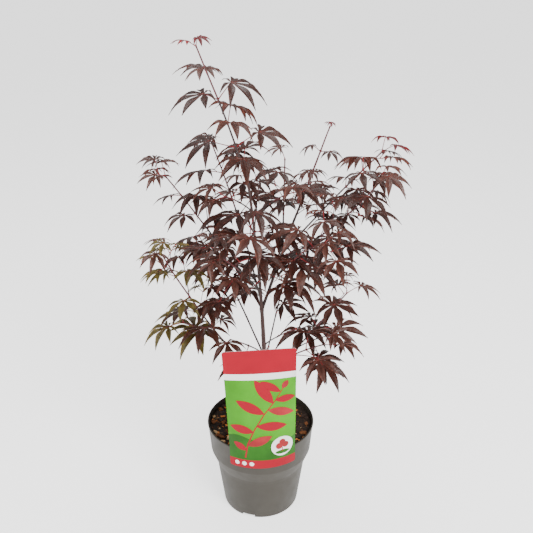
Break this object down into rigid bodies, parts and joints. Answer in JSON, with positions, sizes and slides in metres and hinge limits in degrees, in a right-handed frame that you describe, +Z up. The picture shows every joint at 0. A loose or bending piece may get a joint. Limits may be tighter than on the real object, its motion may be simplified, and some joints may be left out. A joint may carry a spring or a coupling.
{
  "type": "potted japanese maple",
  "caption": "Young upright garden maple with deeply cut dark purple leaves on thin boughs, in a round plastic nursery pot with a curved plant card.",
  "frame": {"origin": "middle of the pot's flat underside", "axes": "+Z up along the pot's axis, -Y towards the front, where the card hangs, +X to the right seen from the front"},
  "size_m": [0.4472, 0.354, 0.837],
  "materials": {
    "pot": "matt taupe grey moulded plastic",
    "compost": "dark moist compost with bits of bark",
    "card": "glossy printed plastic card, red and green",
    "bark": "smooth purplish brown bark",
    "leaf": "soft sheen, dark purple brown",
    "leaf_olive": "soft sheen, olive green with brown edges",
    "leaf_young": "soft sheen, crimson young growth"
  },
  "bodies": {
    "root": {"bough_front_left": "bark", "bough_front_right": "bark", "bough_left_high": "bark", "bough_left_low": "bark", "bough_left_mid": "bark", "bough_rear_high": "bark", "bough_rear_left": "bark", "bough_rear_low": "bark", "bough_rear_right": "bark", "bough_right_back": "bark", "bough_right_foot": "bark", "bough_right_front": "bark", "bough_right_low": "bark", "bough_right_main": "bark", "bough_right_steep": "bark", "leaves_foot_front": "leaf", "leaves_foot_left": "leaf", "leaves_foot_right": "leaf", "leaves_fork_back": "leaf", "leaves_fork_front": "leaf", "leaves_fork_left": "leaf", "leaves_front_left": "leaf", "leaves_front_right": "leaf", "leaves_left_high": "leaf", "leaves_left_low": "leaf_olive", "leaves_left_mid": "leaf", "leaves_left_side": "leaf_olive", "leaves_rear_high": "leaf", "leaves_rear_left": "leaf", "leaves_rear_low": "leaf", "leaves_rear_right": "leaf", "leaves_right_back": "leaf", "leaves_right_foot": "leaf", "leaves_right_front": "leaf", "leaves_right_low": "leaf", "leaves_right_main": "leaf_young", "leaves_right_side": "leaf", "leaves_right_steep": "leaf", "leaves_spur_back": "leaf", "leaves_spur_front": "leaf", "leaves_spur_left": "leaf", "leaves_spur_right": "leaf", "leaves_top": "leaf_young", "plant_card": "card", "pot": "pot", "soil": "compost", "trunk": "bark"}
  },
  "joints": []
}
